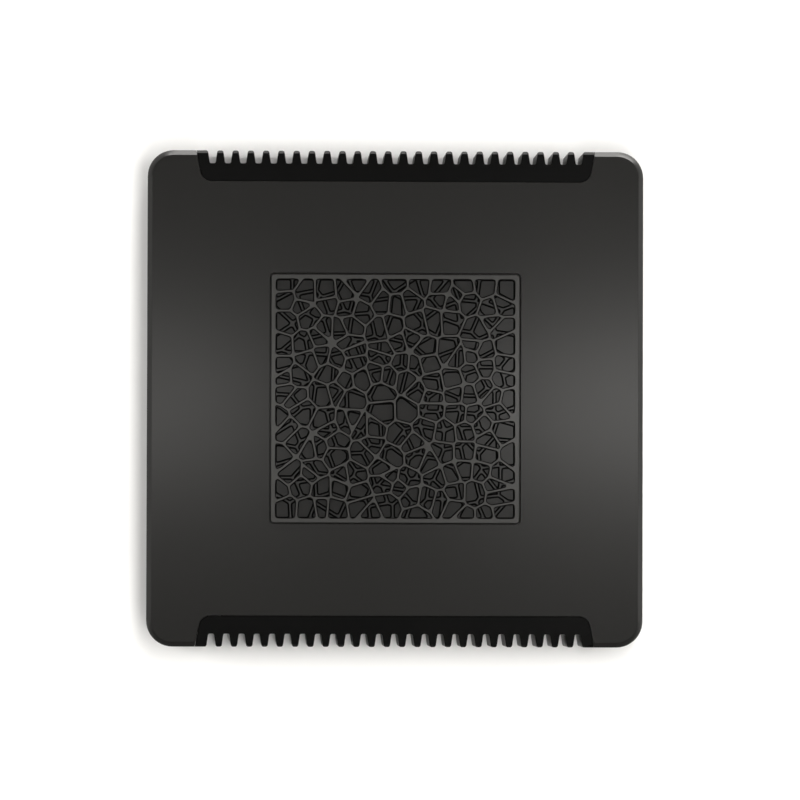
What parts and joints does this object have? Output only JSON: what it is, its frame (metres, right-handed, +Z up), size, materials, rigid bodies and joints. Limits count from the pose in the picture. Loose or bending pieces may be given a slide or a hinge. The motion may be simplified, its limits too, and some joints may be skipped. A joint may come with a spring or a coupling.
{
  "type": "mesh wifi node",
  "caption": "Flat square fanless mesh wifi node with finned black heatsinks front and rear, a lattice inset in its lid, and sockets on one side.",
  "frame": {"origin": "middle of the square footprint, on the surface that the feet stand on", "axes": "+Z up through the lid, +X towards the side with the sockets, +Y towards the rear heatsink"},
  "size_m": [0.2, 0.2, 0.038],
  "materials": {
    "case_shell": "fine satin moulded texture",
    "case_base": "moulded spark texture",
    "panel_plastic": "fine matte",
    "heatsink_black": "black anodised casting",
    "lattice_plastic": "satin moulded",
    "adhesive": "thin double-sided tape",
    "foot_rubber": "matte",
    "label_film": "blank silver film",
    "screw_steel": "zinc plated",
    "board_laminate": "solder mask",
    "chip_resin": "moulded resin",
    "can_tinplate": "tin plated sheet",
    "pad_silicone": "soft silicone",
    "spreader_aluminium": "mill finish",
    "antenna_metal": "stamped strip",
    "component_grey": "moulded ferrite and resin",
    "capacitor_sleeve": "shrink sleeve",
    "jack_shield": "plated sheet shield",
    "contact_gold": "gold flash",
    "lamp_lens": "tinted lens",
    "port_plastic": "moulded nylon",
    "pin_plating": "nickel plated",
    "button_plastic": "satin",
    "lamp_resin": "white lamp body",
    "light_pipe_clear": "clear acrylic"
  },
  "bodies": {
    "housing": {"top_cover": "case_shell", "base_tray": "case_base", "io_panel": "panel_plastic", "front_heatsink": "heatsink_black", "rear_heatsink": "heatsink_black", "lattice_grille": "lattice_plastic", "lattice_backplate": "lattice_plastic", "insert_adhesive": "adhesive", "rear_right_foot": "foot_rubber", "front_right_foot": "foot_rubber", "rear_left_foot": "foot_rubber", "front_left_foot": "foot_rubber", "rating_label": "label_film", "cover_screws": "screw_steel", "board_screws": "screw_steel", "spreader_screws": "screw_steel", "heatsink_screws": "screw_steel", "main_board": "board_laminate", "processor_chip": "chip_resin", "memory_chips": "chip_resin", "radio_chips": "chip_resin", "processor_can": "can_tinplate", "rear_radio_can": "can_tinplate", "front_radio_can": "can_tinplate", "third_radio_can": "can_tinplate", "thermal_pads": "pad_silicone", "heat_spreader": "spreader_aluminium", "rear_left_antenna": "antenna_metal", "front_left_antenna": "antenna_metal", "rear_right_antenna": "antenna_metal", "front_right_antenna": "antenna_metal", "power_coils": "component_grey", "line_transformers": "component_grey", "bulk_capacitors": "capacitor_sleeve", "wan_jack": "jack_shield", "lan_jack_1": "jack_shield", "lan_jack_2": "jack_shield", "lan_jack_3": "jack_shield", "usb_port_shell": "jack_shield", "jack_contacts": "contact_gold", "jack_lamps": "lamp_lens", "usb_port_tongue": "port_plastic", "dc_jack_housing": "port_plastic", "power_switch_body": "port_plastic", "reset_switch_body": "port_plastic", "pair_switch_body": "port_plastic", "dc_jack_pin": "pin_plating", "status_led": "lamp_resin", "status_light_pipe": "light_pipe_clear"},
    "power_button": {"power_button": "button_plastic"},
    "pair_button": {"pair_button": "button_plastic"},
    "reset_plunger": {"reset_plunger": "button_plastic"}
  },
  "joints": [
    {"name": "power_button_press", "type": "slide", "parent": "housing", "child": "power_button", "axis": [-1, 0, 0], "range_m": [0, 0.0012], "stiffness_N_per_m": 1500},
    {"name": "pair_button_press", "type": "slide", "parent": "housing", "child": "pair_button", "axis": [1, 0, 0], "range_m": [0, 0.0006], "stiffness_N_per_m": 2500},
    {"name": "reset_press", "type": "slide", "parent": "housing", "child": "reset_plunger", "axis": [-1, 0, 0], "range_m": [0, 0.00035], "stiffness_N_per_m": 4000}
  ]
}
